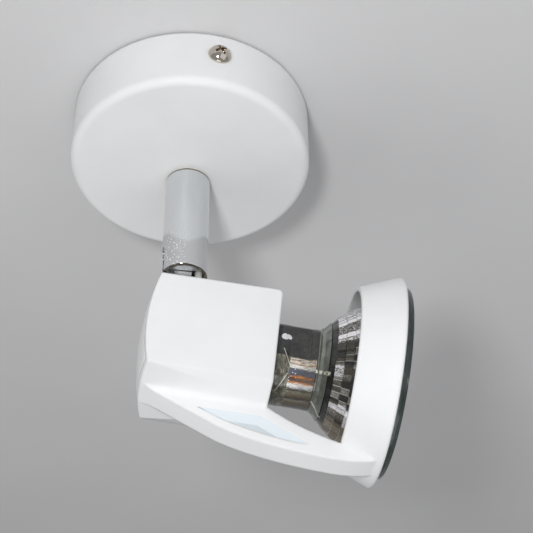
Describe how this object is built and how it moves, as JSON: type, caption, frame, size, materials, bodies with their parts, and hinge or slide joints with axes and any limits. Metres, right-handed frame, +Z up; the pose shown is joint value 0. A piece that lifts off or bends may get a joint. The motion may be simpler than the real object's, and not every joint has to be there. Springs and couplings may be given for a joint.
{
  "type": "ceiling spotlight",
  "caption": "Ceiling spotlight with a round screwed cup, a swivelling chrome stem, a tilting cast head on a knuckle and a twist-lock reflector lamp held in a flared ring.",
  "frame": {"origin": "centre of the cup's back on the ceiling plane", "axes": "+Z up into the ceiling, parallel to the stem, +X the way the lamp points at rest, Y across the head"},
  "size_m": [0.0935, 0.0734, 0.1135],
  "materials": {
    "white_paint": "smooth satin powder coat",
    "bright_chrome": "polished plating",
    "zinc_steel": "zinc plated",
    "bare_brass": "turned",
    "white_plastic": "moulded nylon",
    "lead_insulation": "heat proof sleeve",
    "earth_insulation": "green and yellow insulation",
    "holder_ceramic": "unglazed steatite",
    "grommet_rubber": "matt",
    "silvered_glass": "pressed glass, silvered",
    "clear_glass": "clear",
    "tungsten": "drawn wire"
  },
  "bodies": {
    "canopy": {"ceiling_strap": "zinc_steel", "ceiling_cup": "white_paint", "cup_screws": "bright_chrome", "earth_screw": "bare_brass", "earth_lead": "earth_insulation", "terminal_block": "white_plastic", "terminal_tubes": "bare_brass", "terminal_screws": "zinc_steel", "block_screw": "zinc_steel", "stop_peg": "zinc_steel", "cup_leads": "lead_insulation"},
    "stem": {"stem_tube": "bright_chrome", "stem_nipple": "zinc_steel", "thrust_washer": "white_plastic", "spring_washer": "zinc_steel", "stop_washer": "zinc_steel", "stem_nut": "zinc_steel", "hinge_block": "zinc_steel", "hinge_pin": "zinc_steel", "stem_leads": "lead_insulation"},
    "head": {"hinge_lug": "zinc_steel", "lug_washer": "zinc_steel", "lug_nut": "zinc_steel", "head_casting": "white_paint", "rear_lid": "white_paint", "holder_bracket": "zinc_steel", "holder_screws": "zinc_steel", "lamp_holder": "holder_ceramic", "holder_contacts": "bare_brass", "lead_grommet": "grommet_rubber", "head_leads": "lead_insulation"},
    "lamp": {"lamp_base": "holder_ceramic", "lamp_pins": "zinc_steel", "lamp_reflector": "silvered_glass", "lamp_cover": "clear_glass", "lamp_capsule": "clear_glass", "lamp_filament": "tungsten"}
  },
  "joints": [
    {"name": "stem_swivel", "type": "hinge", "parent": "canopy", "child": "stem", "pos_m": [0, 0.0052, -0.01998], "axis": [0, 0, 1], "range_deg": [-164, 164]},
    {"name": "head_tilt", "type": "hinge", "parent": "stem", "child": "head", "pos_m": [0, 0.0052, -0.05098], "axis": [0, 1, 0], "range_deg": [-9, 84.25]},
    {"name": "lamp_twist", "type": "hinge", "parent": "head", "child": "lamp", "pos_m": [-0.00002, 0.0052, -0.08007], "axis": [0.995, 0, -0.1002], "range_deg": [0, 20]}
  ]
}
